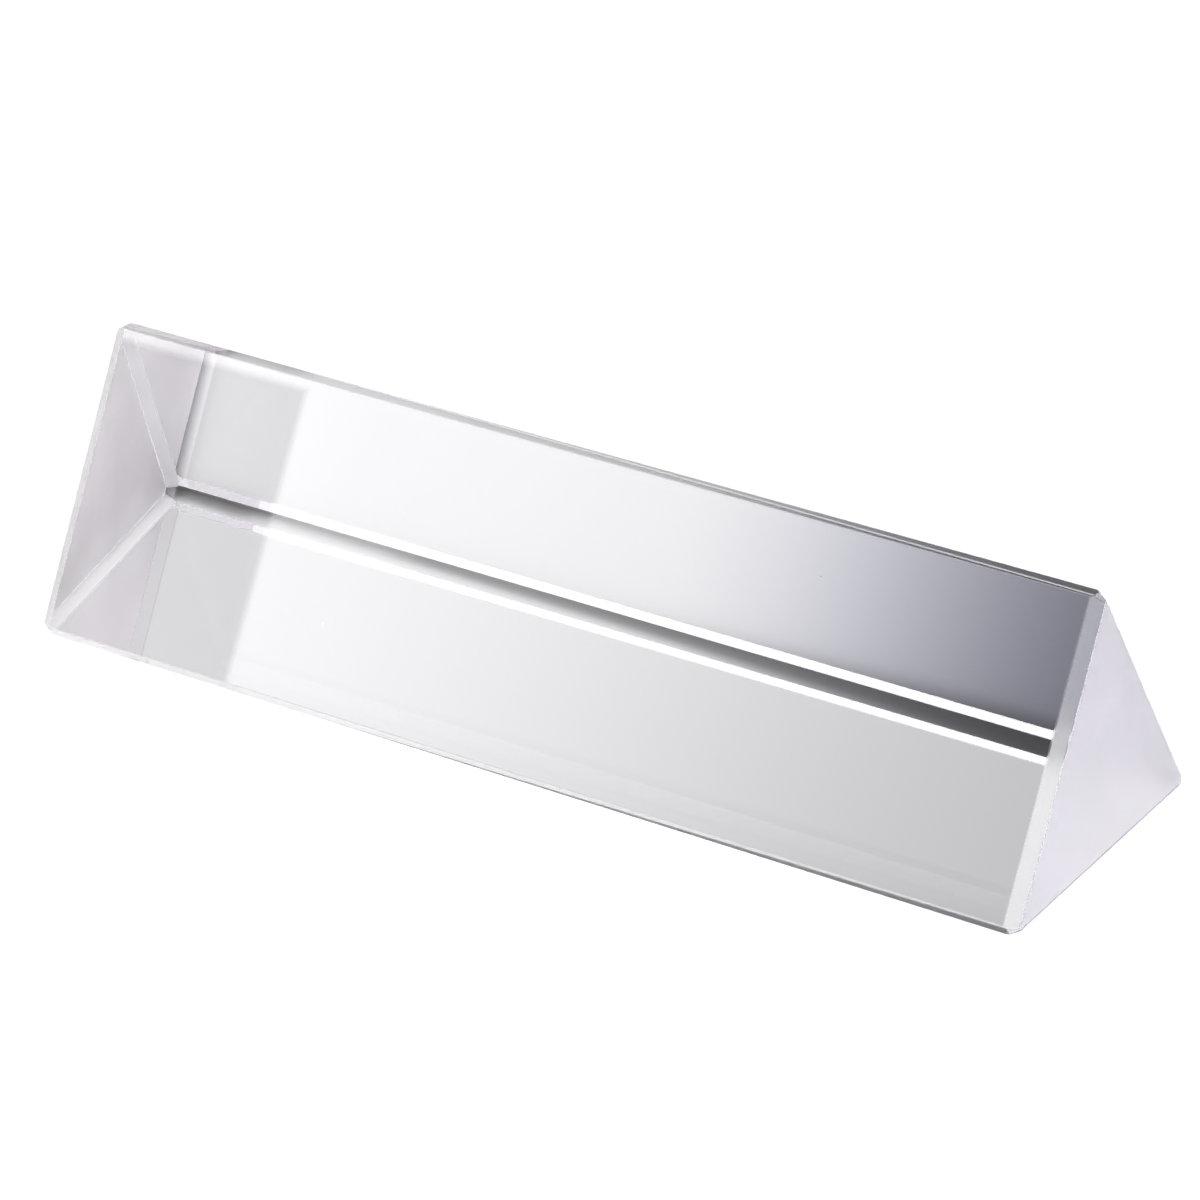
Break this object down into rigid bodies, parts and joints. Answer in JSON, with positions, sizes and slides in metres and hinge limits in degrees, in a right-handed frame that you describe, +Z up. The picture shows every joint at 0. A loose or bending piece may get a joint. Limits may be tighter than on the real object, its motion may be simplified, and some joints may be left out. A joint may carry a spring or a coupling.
{
  "type": "glass prism",
  "caption": "Solid equilateral glass prism for bending and dispersing light, with three polished long faces, fine-ground ends and bevels, lying on one long face.",
  "frame": {"origin": "middle of the long face that the prism lies on", "axes": "+X along the prism's length, +Z up through the upper long edge, +Y across the face that it lies on"},
  "size_m": [0.1, 0.0286, 0.0249],
  "materials": {
    "optical_glass": "clear colourless crown glass: three polished long faces, fine-ground end faces and bevels"
  },
  "bodies": {
    "root": {"glass_prism": "optical_glass"}
  },
  "joints": []
}
